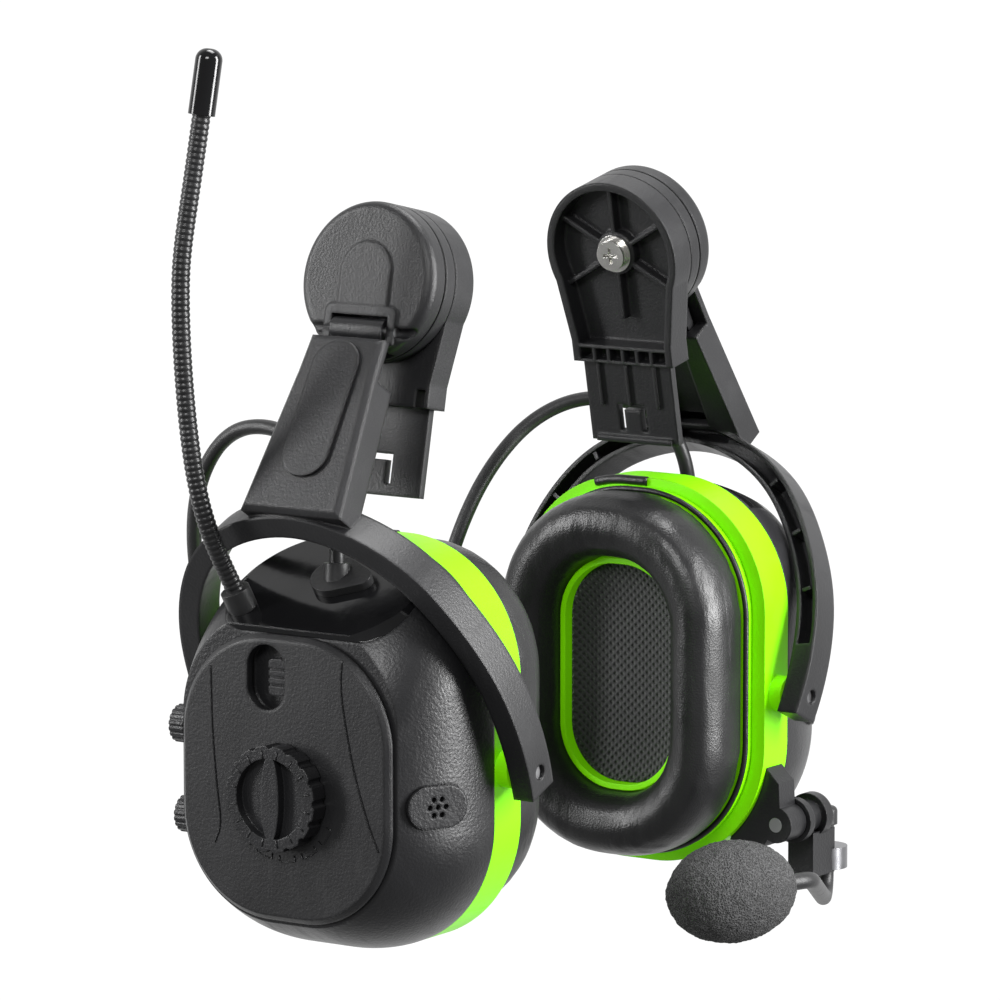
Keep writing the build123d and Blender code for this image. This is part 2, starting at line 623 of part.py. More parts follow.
# Antenna on the rear of the sloping top
ANTENNA_FOOT = TRIM.from_local_coords((-22.0, -9.0, 0))
ANTENNA_R, ANTENNA_CAP_R, ANTENNA_CAP_H = 2.5, 3.5, 17.0
ROUTE = [(8.0, -3.5, 18.0), (12.0, -8.0, 48.0), (12.0, -10.0, 82.0), (6.0, -7.5, 126.0)]   # outward, forward, up
TIP_RUN = Vector(2.0, -1.5, 17.0)       # direction of the last run
FOOT = Vector(ANTENNA_FOOT)
whip_points = [FOOT + Vector(-out, -forward, up) for out, forward, up in ROUTE]
FOOT_DIR = (whip_points[0] - FOOT).normalized()
FOOT_H = 5.0
with BuildPart() as antenna_base:
    with BuildSketch(Plane(origin=FOOT - FOOT_DIR * 3.0, z_dir=FOOT_DIR)):
        Circle(3.9)
    extrude(amount=FOOT_H + 3.0)
    with BuildSketch(TRIM):
        Rectangle(90, 60)
    extrude(amount=-20, mode=Mode.SUBTRACT)
save(antenna_base, "antenna_base")

with BuildPart() as whip:
    with BuildLine() as whip_line:
        Spline(FOOT + FOOT_DIR * FOOT_H, *whip_points, tangents=(FOOT_DIR, TIP_RUN.normalized()))
    with BuildSketch(Plane(origin=FOOT + FOOT_DIR * FOOT_H, z_dir=FOOT_DIR)):
        Circle(ANTENNA_R)
    sweep(path=whip_line.wire())
save(whip, "antenna_whip")
print("antenna_whip volume ratio",
      round(whip.part.volume / (pi * ANTENNA_R ** 2 * whip_line.wire().length), 4))

TIP_DIR = whip_line.wire() % 1
with BuildPart() as antenna_cap:
    with BuildSketch(Plane(origin=whip_line.wire() @ 1, z_dir=TIP_DIR)):
        Circle(ANTENNA_CAP_R)
    extrude(amount=ANTENNA_CAP_H)
    fillet(antenna_cap.faces().sort_by(Axis.Z)[-1].edges(), 3.0)
save(antenna_cap, "antenna_cap")

# Microphone arm of the left cup: bracket, spool knuckle, clamp and boom
BRACKET_IN, BRACKET_T = 1.0, 8.0
AXLE_X, AXLE_Y, AXLE_R = 42.5, -39.5, 2.0
with BuildPart() as mic_bracket:
    with BuildSketch(CUP.offset(BRACKET_IN)):
        Polygon((28, -45), (33, -33), (38.5, -23), (43.5, -28), (44, -38), (38.5, -46), align=None)
        RectangleRounded(RING_W, RING_H, RING_R, mode=Mode.SUBTRACT)
    extrude(amount=BRACKET_T)
    with BuildSketch(CUP.offset(BRACKET_IN)):
        with Locations((AXLE_X, AXLE_Y)):
            Circle(5.0)
    extrude(amount=BRACKET_T)
    with BuildSketch(CUP.offset(BRACKET_IN)):
        RectangleRounded(RING_W, RING_H, RING_R)
    extrude(amount=BRACKET_T, mode=Mode.SUBTRACT)
    with BuildSketch(CUP.offset(BRACKET_IN)):
        with Locations((AXLE_X, AXLE_Y)):
            Circle(2.0)
    extrude(amount=BRACKET_T, mode=Mode.SUBTRACT)
save(mic_bracket, "mic_bracket", mirrored=True)

SPOOL_IN, SPOOL_W, SPOOL_R = BRACKET_IN + BRACKET_T + CLEAR, 12.0, 6.2
with BuildPart() as mic_axle:
    with BuildSketch(CUP.offset(BRACKET_IN)):
        with Locations((AXLE_X, AXLE_Y)):
            Circle(AXLE_R)
    extrude(amount=BRACKET_T + CLEAR + SPOOL_W + 0.6)
    with BuildSketch(CUP.offset(SPOOL_IN + SPOOL_W + CLEAR)):
        with Locations((AXLE_X, AXLE_Y)):
            Circle(4.0)
    extrude(amount=1.6)
save(mic_axle, "mic_axle", mirrored=True)

CLAMP_X, CLAMP_Y, CLAMP_OUT = 42.0, -52.5, 28.5
CLAMP_R, CLAMP_H, BOOM_R = 6.0, 6.0, 2.3
CLAMP = Plane(origin=CUP.from_local_coords((CLAMP_X, CLAMP_Y, CLAMP_OUT)))
with BuildPart() as mic_knuckle:
    with BuildSketch(CUP.offset(SPOOL_IN)):
        with Locations((AXLE_X, AXLE_Y)):
            Circle(SPOOL_R)
    extrude(amount=SPOOL_W)
    with BuildSketch(CUP.offset(SPOOL_IN + 2.5)):
        with Locations((AXLE_X, AXLE_Y)):
            Circle(SPOOL_R + 1)
            Circle(SPOOL_R - 1.6, mode=Mode.SUBTRACT)
    extrude(amount=SPOOL_W - 6.0, mode=Mode.SUBTRACT)
    with BuildSketch(CUP.offset(SPOOL_IN + 5.0)):
        Polygon((AXLE_X - 4, AXLE_Y - 4), (AXLE_X + 4, AXLE_Y - 4), (CLAMP_X + 4.5, CLAMP_Y - 3.5),
                (CLAMP_X - 3.5, CLAMP_Y - 3.5), align=None)
    extrude(amount=11.5)
    with BuildSketch(CUP.offset(SPOOL_IN)):
        with Locations((AXLE_X, AXLE_Y)):
            Circle(AXLE_R + RUNNING)
    extrude(amount=SPOOL_W, mode=Mode.SUBTRACT)
    with BuildSketch(CLAMP.offset(-CLAMP_H / 2)):
        Circle(CLAMP_R)
    extrude(amount=CLAMP_H, mode=Mode.SUBTRACT)
save(mic_knuckle, "mic_knuckle", mirrored=True)

with BuildPart() as mic_clamp:
    with BuildSketch(CLAMP.offset(-CLAMP_H / 2)):
        Circle(CLAMP_R)
        Circle(BOOM_R + RUNNING, mode=Mode.SUBTRACT)
    extrude(amount=CLAMP_H)
save(mic_clamp, "mic_clamp", mirrored=True)

SCREEN_LONG, SCREEN_WIDE = 19.5, 13.8
SCREEN_AT = CUP.from_local_coords((54.0, -49.5, -40.0))
BOOM_DIR = Vector(cos(radians(20)), sin(radians(20)), 0)       # inward and back to the mouth
CAPSULE_AT, BOOM_BEND = SCREEN_AT - BOOM_DIR * 5.0, SCREEN_AT - BOOM_DIR * 27.0
BOOM_STUB = CUP.from_local_coords((CLAMP_X, CLAMP_Y + 9.0, CLAMP_OUT))
BOOM_LOW = CUP.from_local_coords((CLAMP_X, CLAMP_Y - 12.5, CLAMP_OUT))
with BuildPart() as boom:
    with BuildLine() as boom_line:
        FilletPolyline(BOOM_STUB, BOOM_LOW, BOOM_BEND, CAPSULE_AT, radius=(6.0, 8.0))
    with BuildSketch(Plane(origin=BOOM_STUB, z_dir=(0, 0, -1))):
        Circle(BOOM_R)
    sweep(path=boom_line.wire())
save(boom, "boom_tube", mirrored=True)

with BuildPart() as boom_end:
    with BuildSketch(Plane(origin=BOOM_STUB)):
        Circle(BOOM_R + 0.9)
    extrude(amount=5.0)
    fillet(boom_end.faces().sort_by(Axis.Z)[-1].edges(), 1.5)
save(boom_end, "boom_end_cap", mirrored=True)

CAPSULE_R, CAPSULE_L = 4.6, 9.0
with BuildPart() as capsule:
    with BuildSketch(Plane(origin=CAPSULE_AT, z_dir=BOOM_DIR)):
        Circle(CAPSULE_R)
    extrude(amount=CAPSULE_L)
save(capsule, "mic_capsule", mirrored=True)

SCREEN = Plane(origin=SCREEN_AT, x_dir=(0, 0, 1), z_dir=BOOM_DIR)
with BuildPart() as windscreen:
    with BuildSketch(Plane(origin=SCREEN.origin, x_dir=SCREEN.z_dir, z_dir=SCREEN.y_dir)):
        Ellipse(SCREEN_LONG, SCREEN_WIDE)
        with Locations((0, -SCREEN_WIDE)):
            Rectangle(3 * SCREEN_LONG, 2 * SCREEN_WIDE, mode=Mode.SUBTRACT)
    revolve(axis=Axis(SCREEN.origin, SCREEN.z_dir))
    with BuildSketch(Plane(origin=CAPSULE_AT, z_dir=BOOM_DIR)):
        Circle(CAPSULE_R)
    extrude(amount=CAPSULE_L, mode=Mode.SUBTRACT)
    with BuildSketch(Plane(origin=CAPSULE_AT, z_dir=BOOM_DIR)):
        Circle(BOOM_R)
    extrude(amount=-30.0, mode=Mode.SUBTRACT)
save(windscreen, "mic_windscreen", mirrored=True)
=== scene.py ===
"""Helmet-mounted communication ear defenders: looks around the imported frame, in metres.

The wearer faces -Y and the wearer's right is -X. side is -1 for the right of the wearer and 1 for
the left.
"""

import json
from math import cos, pi, radians, sin

import bmesh
import bpy
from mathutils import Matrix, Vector, noise


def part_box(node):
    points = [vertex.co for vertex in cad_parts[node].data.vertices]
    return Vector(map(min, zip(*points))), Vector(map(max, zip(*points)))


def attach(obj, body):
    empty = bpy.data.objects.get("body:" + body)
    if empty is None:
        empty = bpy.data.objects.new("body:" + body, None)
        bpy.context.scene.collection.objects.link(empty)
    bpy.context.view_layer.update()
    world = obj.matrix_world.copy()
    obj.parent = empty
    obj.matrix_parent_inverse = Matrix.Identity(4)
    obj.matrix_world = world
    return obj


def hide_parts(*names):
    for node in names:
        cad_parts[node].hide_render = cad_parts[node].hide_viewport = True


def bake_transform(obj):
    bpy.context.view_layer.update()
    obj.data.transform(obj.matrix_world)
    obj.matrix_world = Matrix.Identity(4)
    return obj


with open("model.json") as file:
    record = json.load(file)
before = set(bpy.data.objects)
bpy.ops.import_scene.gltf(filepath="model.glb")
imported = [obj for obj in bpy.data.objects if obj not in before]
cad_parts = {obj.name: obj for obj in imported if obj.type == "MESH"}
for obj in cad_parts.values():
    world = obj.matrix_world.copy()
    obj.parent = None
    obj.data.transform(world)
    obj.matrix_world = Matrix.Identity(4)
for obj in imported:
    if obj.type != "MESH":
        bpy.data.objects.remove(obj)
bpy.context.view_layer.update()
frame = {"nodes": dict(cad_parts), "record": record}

MM = 0.001
SIDES = (("right", -1), ("left", 1))
HALF_SPAN, CUP_DROP = 60.6, 82.0


def cup_point(side, x, y, z):
    """Point of a cup, in millimetres forward, up and outward, as a point of the row frame in metres."""
    return Vector((side * (HALF_SPAN + z), -x, y - CUP_DROP)) * MM


# Camera and studio
AZIMUTH, ELEVATION, DISTANCE, VIEW_WIDTH = -56.1, 8.2, 1.7, 0.2653
AIM = Vector((-0.0063, 0.0022, -0.0275))


def place_camera():
    a, e = radians(AZIMUTH), radians(ELEVATION)
    back = Vector((sin(a) * cos(e), -cos(a) * cos(e), sin(e)))
    data = bpy.data.cameras.new("camera")
    camera = bpy.data.objects.new("camera", data)
    bpy.context.scene.collection.objects.link(camera)
    camera.location = AIM + back * DISTANCE
    camera.rotation_euler = back.to_track_quat("Z", "Y").to_euler()
    data.sensor_width = 36.0
    data.lens = data.sensor_width * DISTANCE / VIEW_WIDTH
    bpy.context.scene.camera = camera


def build_mesh(name, vertices, faces):
    mesh = bpy.data.meshes.new(name)
    mesh.from_pydata([tuple(v) for v in vertices], [], faces)
    mesh.validate()
    mesh.shade_smooth()
    piece = bpy.data.objects.new(name, mesh)
    bpy.context.scene.collection.objects.link(piece)
    return piece


def ring_faces(rings, count, close_along=False):
    """Quads between neighbouring rings of count points each."""
    faces = []
    for i in range(rings if close_along else rings - 1):
        for j in range(count):
            a, b = i * count, ((i + 1) % rings) * count
            faces.append((a + j, a + (j + 1) % count, b + (j + 1) % count, b + j))
    return faces


def tube(name, points, radius, sides=14, caps=True):
    """Tube along points; radius is a number or one radius for each point."""
    vertices, normal = [], None
    for i, point in enumerate(points):
        run = (points[min(i + 1, len(points) - 1)] - points[max(i - 1, 0)]).normalized()
        normal = run.orthogonal() if normal is None else normal - run * normal.dot(run)
        normal = normal.normalized()
        across = run.cross(normal)
        r = radius if isinstance(radius, float) else radius[i]
        vertices += [point + (normal * cos(2 * pi * j / sides) + across * sin(2 * pi * j / sides)) * r
                     for j in range(sides)]
    faces = ring_faces(len(points), sides)
    if caps:
        last = (len(points) - 1) * sides
        faces += [tuple(range(sides))[::-1], tuple(range(last, last + sides))]
    return build_mesh(name, vertices, faces)


# Cable between the cups
CABLE = [(-84.2, 0, -34.2), (-83.2, 0.5, -23), (-76.5, 9, -10), (-75, 25, -1.5), (-74, 42, -4),
         (-72, 54, -20), (-69, 57, -42), (-63, 54, -66), (-50, 51, -86), (-26, 50, -96),
         (0, 51, -96), (22, 52, -85), (36, 51, -65), (44, 50, -46), (55, 47, -29),
         (66, 40, -16), (73, 27, -9.5), (76.5, 9.5, -11), (83.2, 0.5, -23), (84.2, 0, -34.2)]
CABLE_R = 0.002
SHARE = 0.0315      # length of each piece that crosses a joint near a cup


def nurbs_points(name, points):
    """The line of a NURBS with the given control points, read back from Blender."""
    data = bpy.data.curves.new(name, "CURVE")
    data.dimensions = "3D"
    spline = data.splines.new("NURBS")
    spline.points.add(len(points) - 1)
    for target, point in zip(spline.points, points):
        target.co = (*(Vector(point) * MM), 1)
    spline.order_u = 3
    spline.use_endpoint_u = True
    spline.resolution_u = 16
    guide = bpy.data.objects.new(name, data)
    bpy.context.scene.collection.objects.link(guide)
    line = [v.co.copy() for v in bpy.data.meshes.new_from_object(guide).vertices]
    bpy.data.objects.remove(guide)
    return line


def cut_line(line, cuts):
    """The line in pieces that meet at the given lengths."""
    pieces, current, done, cuts = [], [line[0]], 0.0, list(cuts)
    for a, b in zip(line, line[1:]):
        step = (b - a).length
        while cuts and done + step >= cuts[0]:
            corner = a.lerp(b, (cuts[0] - done) / step)
            pieces.append(current + [corner])
            current = [corner]
            cuts.pop(0)
        if (b - current[-1]).length > 1e-7:
            current.append(b)
        done += step
    return pieces + [current]


def length_of(line):
    return sum((b - a).length for a, b in zip(line, line[1:]))


def cable():
    """One cable in pieces that meet at the joints, each baked in place."""
    line = nurbs_points("cable_guide", CABLE)
    total = length_of(line)
    cuts = [SHARE, 2 * SHARE, 3 * SHARE, total / 2, total - 3 * SHARE, total - 2 * SHARE, total - SHARE]
    pieces = cut_line(line, cuts)
    for side, runs in (("right", pieces[:4]), ("left", [p[::-1] for p in pieces[:3:-1]])):
        for i, run in enumerate(runs):
            piece = tube(f"cable_{side}_{i + 1}", run, CABLE_R, caps=False)
            piece.data.materials.append(MATERIALS["cable_rubber"])
            if i == 2:      # the same bake as every other piece
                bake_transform(piece)
            else:
                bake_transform(piece)
            if i == 0:
                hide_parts(f"cable_{side}")
            if i == 3 and side == "right":
                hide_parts("cable_middle")


# Materials
class Finish:
    """A material's nodes, built from the surface's own position."""

    def __init__(self, name):
        self.material = bpy.data.materials.new(name)
        self.material.use_nodes = True
        self.tree = self.material.node_tree
        self.shader = self.tree.nodes["Principled BSDF"]
        self.place = self.tree.nodes.new("ShaderNodeTexCoord")

    def node(self, kind, values, **links):
        node = self.tree.nodes.new(kind)
        for key, value in values.items():
            if key in node.inputs:
                node.inputs[key].default_value = value
            else:
                setattr(node, key, value)
        for key, source in links.items():
            self.tree.links.new(source, node.inputs[key.replace("_", " ")])
        return node

    def noise(self, scale, detail=3.0, roughness=0.5):
        texture = self.node("ShaderNodeTexNoise", {"Scale": scale, "Detail": detail, "Roughness": roughness})
        self.tree.links.new(self.place.outputs["Object"], texture.inputs["Vector"])
        return texture.outputs["Fac"]

    def stretched(self, scale, stretch, detail=2.0):
        """Noise that runs in streaks."""
        mapping = self.node("ShaderNodeMapping", {"Scale": stretch}, Vector=self.place.outputs["Object"])
        texture = self.node("ShaderNodeTexNoise", {"Scale": scale, "Detail": detail},
                            Vector=mapping.outputs["Vector"])
        return texture.outputs["Fac"]

    def cells(self, scale):
        texture = self.node("ShaderNodeTexVoronoi", {"Scale": scale})
        self.tree.links.new(self.place.outputs["Object"], texture.inputs["Vector"])
        return texture.outputs["Distance"]

    def spread(self, source, low, high, start=0.0, end=1.0):
        node = self.node("ShaderNodeMapRange", {"From Min": start, "From Max": end,
                                                "To Min": low, "To Max": high}, Value=source)
        return node.outputs["Result"]

    def mix(self, amount, first, second):
        node = self.node("ShaderNodeMix", {"data_type": "RGBA"}, Factor=amount)
        node.inputs[6].default_value = (*first, 1)
        node.inputs[7].default_value = (*second, 1)
        return node.outputs[2]

    def bump(self, height, strength, distance, under=None):
        node = self.node("ShaderNodeBump", {"Strength": strength, "Distance": distance}, Height=height)
        if under is not None:
            self.tree.links.new(under, node.inputs["Normal"])
        return node.outputs["Normal"]

    def bevel(self, radius):
        return self.node("ShaderNodeBevel", {"samples": 4, "Radius": radius}).outputs["Normal"]

    def wire(self, socket, source):
        self.tree.links.new(source, self.shader.inputs[socket])


def plastic(name, color, rough, grain, depth, edge=0.0005, specular=0.4, lift=1.5, scuff=0.1):
    """Moulded plastic: spark-eroded grain, slow cloudiness, handling scuffs and rounded edges."""
    f = Finish(name)
    slow = f.noise(38.0, 4.0)
    f.wire("Base Color", f.mix(f.spread(slow, 0, 1, 0.35, 0.7), color, [min(1, c * lift) for c in color]))
    marks = f.spread(f.stretched(90.0, (1.0, 6.0, 1.0), 5.0), 0, scuff, 0.52, 0.75)
    total = f.node("ShaderNodeMath", {"operation": "ADD"})
    f.tree.links.new(f.spread(slow, rough - 0.05, rough + 0.05), total.inputs[0])
    f.tree.links.new(marks, total.inputs[1])
    f.wire("Roughness", total.outputs[0])
    fine = f.bump(f.noise(grain, 2.0), 0.6, depth, f.bevel(edge))
    f.wire("Normal", f.bump(slow, 0.15, 0.0004, fine))
    f.shader.inputs["Specular IOR Level"].default_value = specular
    return f.material


def vinyl():
    f = Finish("cushion_vinyl")
    slow = f.noise(30.0, 3.0)
    f.wire("Base Color", f.mix(slow, (0.006, 0.006, 0.0065), (0.013, 0.013, 0.0135)))
    f.wire("Roughness", f.spread(f.noise(70.0, 4.0), 0.3, 0.46, 0.3, 0.7))
    pores = f.bump(f.cells(1900.0), 0.35, 0.00012)
    creases = f.bump(f.spread(f.stretched(60.0, (1.0, 1.0, 0.35), 4.0), 0, 1, 0.45, 0.7), 0.5, 0.0007, pores)
    f.wire("Normal", f.bump(slow, 0.4, 0.0016, creases))
    f.shader.inputs["Specular IOR Level"].default_value = 0.42
    return f.material


def knitted_mesh():
    f = Finish("foam_liner")
    holes = []
    for turn in (45, -45):
        mapping = f.node("ShaderNodeMapping", {"Rotation": (radians(turn), 0, 0)},
                         Vector=f.place.outputs["Object"])
        wave = f.node("ShaderNodeTexWave", {"Scale": 190.0, "bands_direction": "Z", "Distortion": 0.6,
                                            "Detail Scale": 3.0}, Vector=mapping.outputs["Vector"])
        holes.append(wave.outputs["Fac"])
    weave = f.node("ShaderNodeMath", {"operation": "MULTIPLY"})
    f.tree.links.new(holes[0], weave.inputs[0])
    f.tree.links.new(holes[1], weave.inputs[1])
    yarn = f.node("ShaderNodeMath", {"operation": "MULTIPLY_ADD"})
    f.tree.links.new(weave.outputs[0], yarn.inputs[0])
    yarn.inputs[1].default_value = -1.0
    yarn.inputs[2].default_value = 1.0
    f.wire("Base Color", f.mix(f.spread(weave.outputs[0], 0, 1, 0.1, 0.6),
                               (0.02, 0.02, 0.021), (0.002, 0.002, 0.002)))
    f.wire("Roughness", f.spread(f.noise(400.0), 0.6, 0.85))
    thread = f.bump(f.noise(3000.0, 2.0), 0.3, 0.0001)
    f.wire("Normal", f.bump(yarn.outputs[0], 0.9, 0.0008, thread))
    f.shader.inputs["Sheen Weight"].default_value = 0.15
    return f.material


def open_foam():
    f = Finish("windscreen_foam")
    pores = f.cells(2100.0)
    f.wire("Base Color", f.mix(f.spread(pores, 0, 1, 0.1, 0.9), (0.02, 0.02, 0.02), (0.085, 0.085, 0.086)))
    f.wire("Roughness", f.spread(f.noise(300.0), 0.85, 1.0))
    f.wire("Normal", f.bump(pores, 0.8, 0.0004, f.bump(f.noise(2500.0, 3.0), 0.6, 0.0003)))
    f.shader.inputs["Specular IOR Level"].default_value = 0.15
    return f.material


def metal(name, color, rough):
    f = Finish(name)
    slow = f.noise(160.0, 4.0)
    f.wire("Base Color", f.mix(slow, [c * 0.75 for c in color], color))
    f.wire("Roughness", f.spread(slow, rough - 0.08, rough + 0.12))
    f.wire("Normal", f.bump(f.stretched(900.0, (1.0, 1.0, 8.0)), 0.3, 0.00004, f.bevel(0.0002)))
    f.shader.inputs["Metallic"].default_value = 1.0
    return f.material


def green_with_painted_glow():
    """Bright green with a painted glow: a constant emission, standing in for its fluorescence, that shines
    whatever the lamps.
    """
    material = plastic("green_plastic", (0.17, 0.62, 0.0), 0.4, 700.0, 0.00004, lift=1.08, specular=0.2)
    shader = material.node_tree.nodes["Principled BSDF"]
    # painted glow: emission on the green plastic, which is no lamp
    shader.inputs["Emission Color"].default_value = (0.27, 1.0, 0.0, 1)
    shader.inputs["Emission Strength"].default_value = 0.14
    return material


MATERIALS = {
    "matte_black": plastic("matte_black", (0.009, 0.009, 0.0098), 0.4, 1500.0, 0.00012, edge=0.0012),
    "cup_black": plastic("cup_black", (0.008, 0.008, 0.0088), 0.36, 1300.0, 0.00016, edge=0.001),
    "gloss_black": plastic("gloss_black", (0.004, 0.004, 0.0044), 0.09, 500.0, 0.00001, scuff=0.04),
    "dark_nylon": plastic("dark_nylon", (0.008, 0.008, 0.0088), 0.36, 1400.0, 0.00015),
    "control_black": plastic("control_black", (0.01, 0.01, 0.011), 0.32, 1700.0, 0.00014),
    "green_plastic": green_with_painted_glow(),
    "cushion_vinyl": vinyl(),
    "foam_liner": knitted_mesh(),
    "speaker_black": plastic("speaker_black", (0.02, 0.02, 0.02), 0.6, 900.0, 0.0001),
    "board_green": plastic("board_green", (0.01, 0.1, 0.03), 0.3, 300.0, 0.00005),
    "battery_wrap": plastic("battery_wrap", (0.04, 0.05, 0.08), 0.2, 300.0, 0.00001),
    "cable_rubber": plastic("cable_rubber", (0.012, 0.012, 0.0125), 0.42, 1100.0, 0.0001, edge=0.0003),
    "antenna_rubber": plastic("antenna_rubber", (0.008, 0.008, 0.0085), 0.36, 1200.0, 0.00008, edge=0.0001),
    "windscreen_foam": open_foam(),
    "clamp_grey": metal("clamp_grey", (0.24, 0.24, 0.25), 0.34),
    "steel": metal("steel", (0.55, 0.55, 0.56), 0.3),
    "zinc_steel": metal("zinc_steel", (0.8, 0.79, 0.76), 0.22),
}


def dress_nodes():
    """Every CAD node takes the material of its slot."""
    slots = {part["node"]: part["material_slot"] for part in frame["record"]["subparts"]}
    for name, piece in frame["nodes"].items():
        for holder in piece.material_slots:
            holder.material = MATERIALS[slots[name]]


def finish_piece(piece, body, slot):
    piece.data.materials.clear()
    piece.data.materials.append(MATERIALS[slot])
    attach(piece, body)
    return piece


def area_light(name, position, size, power, aim):
    data = bpy.data.lights.new(name, "AREA")
    data.shape = "RECTANGLE"
    data.size, data.size_y = size
    data.energy = power
    light = bpy.data.objects.new(name, data)
    bpy.context.scene.collection.objects.link(light)
    light.location = position
    light.rotation_euler = (Vector(position) - Vector(aim)).to_track_quat("Z", "Y").to_euler()


BACKDROP, ROOM = 1.06, 0.27      # brightness of the surroundings behind the object and in front of it


def studio():
    """A white backdrop behind the object, a dim room in front of it, and soft boxes."""
    world = bpy.data.worlds.new("studio")
    bpy.context.scene.world = world
    world.use_nodes = True
    nodes, links = world.node_tree.nodes, world.node_tree.links
    a = radians(AZIMUTH)
    away, across = Vector((-sin(a), cos(a), 0)), Vector((cos(a), sin(a), 0))
    direction = nodes.new("ShaderNodeTexCoord")
    facing = nodes.new("ShaderNodeVectorMath")
    facing.operation = "DOT_PRODUCT"
    facing.inputs[1].default_value = away
    spread = nodes.new("ShaderNodeMapRange")
    spread.interpolation_type = "SMOOTHSTEP"
    for key, value in {"From Min": -0.1, "From Max": 0.75, "To Min": ROOM, "To Max": BACKDROP}.items():
        spread.inputs[key].default_value = value
    links.new(direction.outputs["Generated"], facing.inputs[0])
    links.new(facing.outputs["Value"], spread.inputs["Value"])
    links.new(spread.outputs["Result"], nodes["Background"].inputs["Strength"])
    nodes["Background"].inputs["Color"].default_value = (1, 1, 1, 1)
    bpy.context.scene.view_settings.view_transform = "Standard"
    up, aim = Vector((0, 0, 1)), Vector((0, 0, -0.04))
    area_light("right_box", across * 0.9 - away * 0.3 + up * 0.2, (0.22, 0.9), 26, aim)
    area_light("left_box", -across * 1.0 - away * 0.15 + up * 0.25, (0.2, 0.8), 10, aim)
    area_light("front_box", -away * 1.3 - across * 0.35 + up * 0.75, (0.5, 0.35), 12, aim)
    area_light("top_box", up * 1.1 + across * 0.15 + away * 0.2, (0.7, 0.4), 13, aim)


# Cushions
OPENING, OUTER = (39.0, 65.0, 17.5), (72.0, 101.0, 33.5)
AROUND = 144
HELD_DEPTH, PUFF_CAP = 5.6, 0.9 * MM
# Section of the cushion: share of the way from opening to rim, and height along the cup's axis
PROFILE = ((0.02, -4.2), (0.0, -8.0), (0.0, -13.5), (0.05, -18.0), (0.2, -21.4), (0.42, -22.9), (0.62, -22.8),
           (0.82, -20.6), (0.94, -16.4), (0.985, -11.0), (0.97, -6.5), (0.95, -4.2), (0.5, -4.0))


def rounded_rectangle(width, height, radius, count):
    """Points around a rounded rectangle, one for each equal step of its corners' angle."""
    points = []
    for i in range(count):
        t = 2 * pi * (i + 0.5) / count
        cx = (width / 2 - radius) * (1 if cos(t) > 0 else -1)
        cy = (height / 2 - radius) * (1 if sin(t) > 0 else -1)
        points.append((cx + radius * cos(t), cy + radius * sin(t)))
    return points


def cushion_form(side):
    """Closed crowned ring that the cloth starts from."""
    inner, outer = rounded_rectangle(*OPENING, AROUND), rounded_rectangle(*OUTER, AROUND)
    vertices = [cup_point(side, a[0] + (b[0] - a[0]) * share, a[1] + (b[1] - a[1]) * share, height)
                for a, b in zip(inner, outer) for share, height in PROFILE]
    return build_mesh("cushion_form", vertices, ring_faces(AROUND, len(PROFILE), close_along=True))


def apply_modifiers(piece):
    piece.data = bpy.data.meshes.new_from_object(piece.evaluated_get(bpy.context.evaluated_depsgraph_get()))
    piece.modifiers.clear()


def puff(piece, held_below, cap, voxel=0.0022, pressure=4.0):
    """Blow the closed form up as cloth; points for which held_below is true stay in place."""
    remesh = piece.modifiers.new("remesh", "REMESH")
    remesh.mode = "VOXEL"
    remesh.voxel_size = voxel
    apply_modifiers(piece)
    rest = [v.co.copy() for v in piece.data.vertices]
    held = piece.vertex_groups.new(name="held")
    held.add([i for i, co in enumerate(rest) if held_below(co)], 1.0, "REPLACE")
    cloth = piece.modifiers.new("cloth", "CLOTH")
    cloth.settings.vertex_group_mass = "held"
    cloth.settings.use_pressure = True
    cloth.settings.uniform_pressure_force = pressure
    cloth.settings.effector_weights.gravity = 0
    cloth.settings.tension_stiffness = 8
    cloth.settings.compression_stiffness = 5
    cloth.settings.bending_stiffness = 0.2
    for number in range(1, 21):
        bpy.context.scene.frame_set(number)
    apply_modifiers(piece)
    bpy.context.scene.frame_set(1)
    for vertex, start in zip(piece.data.vertices, rest):
        move = vertex.co - start
        if move.length > cap:
            vertex.co = start + move.normalized() * cap
    return piece


def cushions():
    """One cushion blown up as cloth, mirrored for the other cup."""
    form = cushion_form(-1)
    base = -(HALF_SPAN - HELD_DEPTH) * MM
    puff(form, lambda co: co.x < base, PUFF_CAP)
    subdivision = form.modifiers.new("subdivision", "SUBSURF")
    subdivision.levels = 1
    apply_modifiers(form)
    form.data.shade_smooth()
    for name, side in SIDES:
        mesh = form.data.copy()
        if side > 0:
            for vertex in mesh.vertices:
                vertex.co.x = -vertex.co.x
            mesh.flip_normals()
        pad = bpy.data.objects.new(f"cushion_pad_{name}", mesh)
        bpy.context.scene.collection.objects.link(pad)
        finish_piece(pad, f"{name}_cup", "cushion_vinyl")
        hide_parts(f"cushion_{name}")
    bpy.data.objects.remove(form)


LINER, LINER_AROUND, LINER_RINGS = (34.6, 60.6, 15.6), 96, 14
LINER_FRONT, LINER_BACK = -8.0, -4.2


